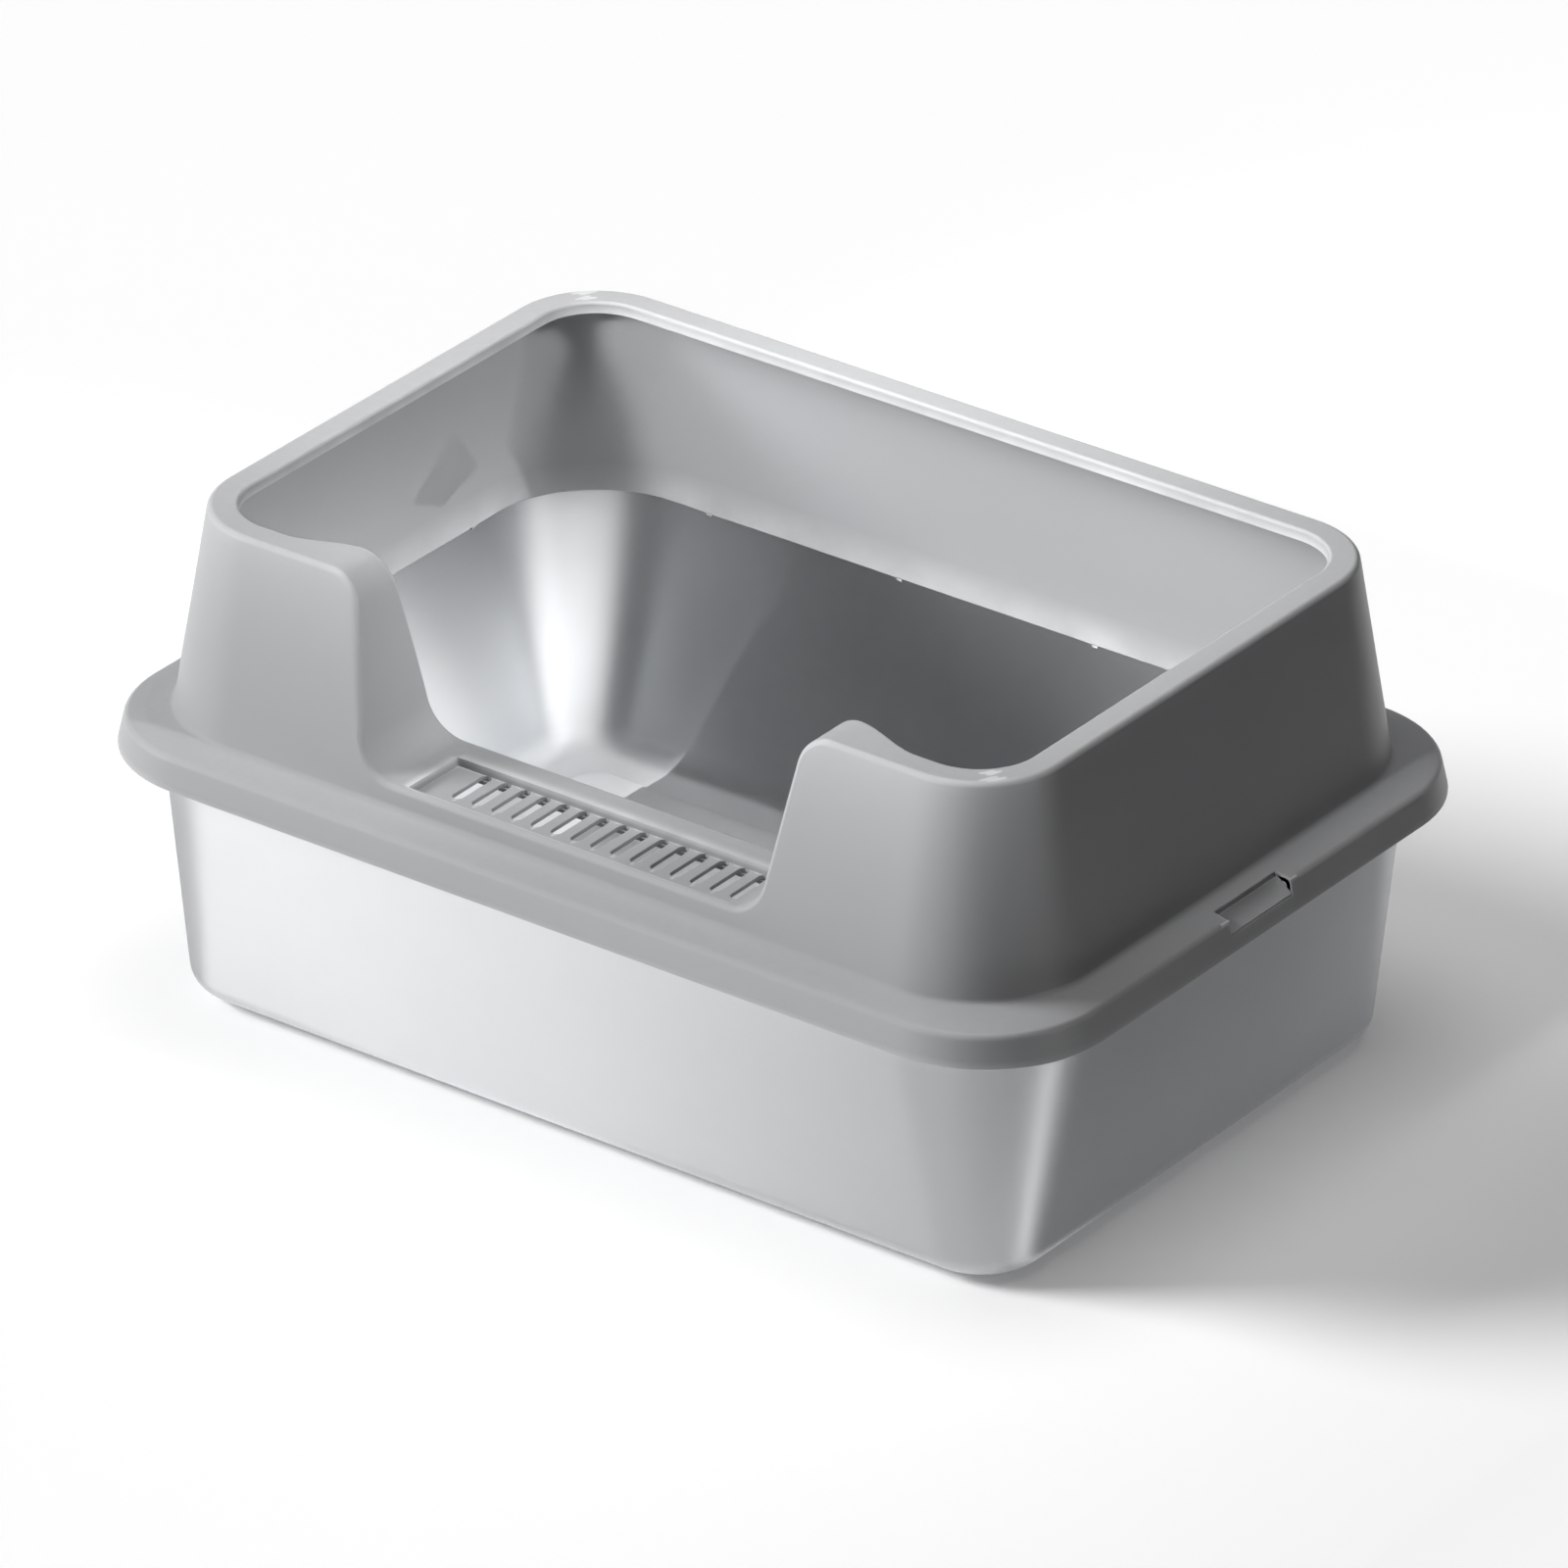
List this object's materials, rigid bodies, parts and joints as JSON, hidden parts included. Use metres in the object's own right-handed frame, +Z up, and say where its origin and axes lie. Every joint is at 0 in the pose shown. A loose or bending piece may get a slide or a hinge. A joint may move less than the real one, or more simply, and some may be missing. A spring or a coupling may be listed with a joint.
{
  "type": "cat litter box",
  "caption": "Open-topped litter box: deep drawn-steel pan under a high plastic splash guard with a front entry notch, slotted sill grate and side latches.",
  "frame": {"origin": "middle of the box's footprint, at floor level under the feet", "axes": "+X along the length to the right, -Y towards the entry, +Z up"},
  "size_m": [0.5002, 0.353, 0.232],
  "materials": {
    "drawn_steel": "satin drawn stainless sheet",
    "guard_plastic": "satin grey moulded plastic",
    "pin_steel": "plain steel wire and rod",
    "foot_rubber": "matt black rubber"
  },
  "bodies": {
    "pan": {"steel_pan": "drawn_steel", "foot_front_left": "foot_rubber", "foot_front_right": "foot_rubber", "foot_back_left": "foot_rubber", "foot_back_right": "foot_rubber"},
    "guard": {"splash_guard": "guard_plastic", "latch_pin_left": "pin_steel", "latch_pin_right": "pin_steel", "latch_spring_left": "pin_steel", "latch_spring_right": "pin_steel"},
    "grate": {"litter_grate": "guard_plastic"},
    "left_latch": {"latch_left": "guard_plastic"},
    "right_latch": {"latch_right": "guard_plastic"}
  },
  "joints": [
    {"name": "guard_lift", "type": "slide", "parent": "pan", "child": "guard", "axis": [0, 0, 1], "range_m": [0, 0.15]},
    {"name": "grate_lift", "type": "slide", "parent": "guard", "child": "grate", "axis": [0, 0, 1], "range_m": [0, 0.05]},
    {"name": "latch_left_press", "type": "hinge", "parent": "guard", "child": "left_latch", "pos_m": [-0.2422, 0, 0.1282], "axis": [0, 1, 0], "range_deg": [0, 8], "stiffness_Nm_per_rad": 0.02, "springref_deg": -28.65, "deforming": ["latch_spring_left"]},
    {"name": "latch_right_press", "type": "hinge", "parent": "guard", "child": "right_latch", "pos_m": [0.2422, 0, 0.1282], "axis": [0, -1, 0], "range_deg": [0, 8], "stiffness_Nm_per_rad": 0.02, "springref_deg": -28.65, "deforming": ["latch_spring_right"]}
  ]
}
